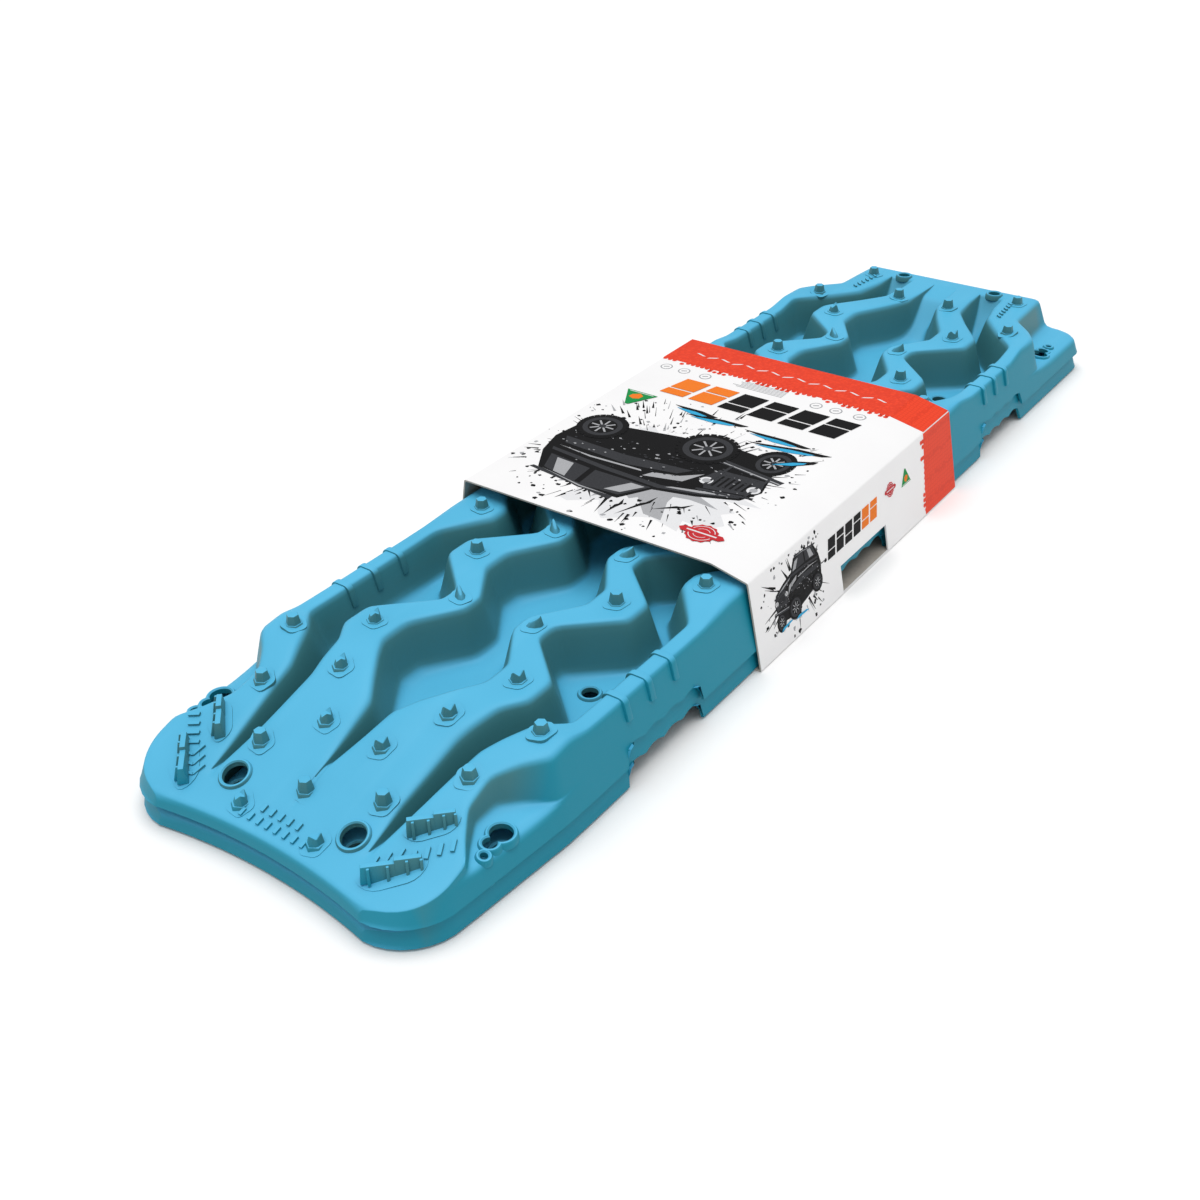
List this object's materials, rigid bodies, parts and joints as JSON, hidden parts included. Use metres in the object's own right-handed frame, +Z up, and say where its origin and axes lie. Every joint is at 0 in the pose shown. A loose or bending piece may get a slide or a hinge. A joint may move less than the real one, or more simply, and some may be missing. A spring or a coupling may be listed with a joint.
{
  "type": "tire traction mats",
  "caption": "Pair of nested ramp-ended traction mats with zig-zag ribs, cleats, side handles and mounting holes, held together by a slide-off printed cardboard sleeve.",
  "frame": {"origin": "on the floor under the middle of the object's bounding box; the mats' own middle is above it", "axes": "+X along the mats from the ramp end to the far end, +Y across them, +Z up"},
  "size_m": [1.1599, 0.336, 0.0905],
  "materials": {
    "mat_nylon": "moulded glass-filled nylon, cyan blue, fine spark texture",
    "sleeve_board": "white coated board with black and orange-red print outside, grey-brown inside"
  },
  "bodies": {
    "lower_mat": {"lower_mat": "mat_nylon"},
    "upper_mat": {"upper_mat": "mat_nylon"},
    "sleeve": {"sleeve": "sleeve_board"}
  },
  "joints": [
    {"name": "sleeve_slide", "type": "slide", "parent": "lower_mat", "child": "sleeve", "axis": [1, 0, 0], "range_m": [-0.81, 0.75]},
    {"name": "upper_mat_lift", "type": "slide", "parent": "lower_mat", "child": "upper_mat", "axis": [0, 0, 1], "range_m": [0, 0.001]}
  ]
}
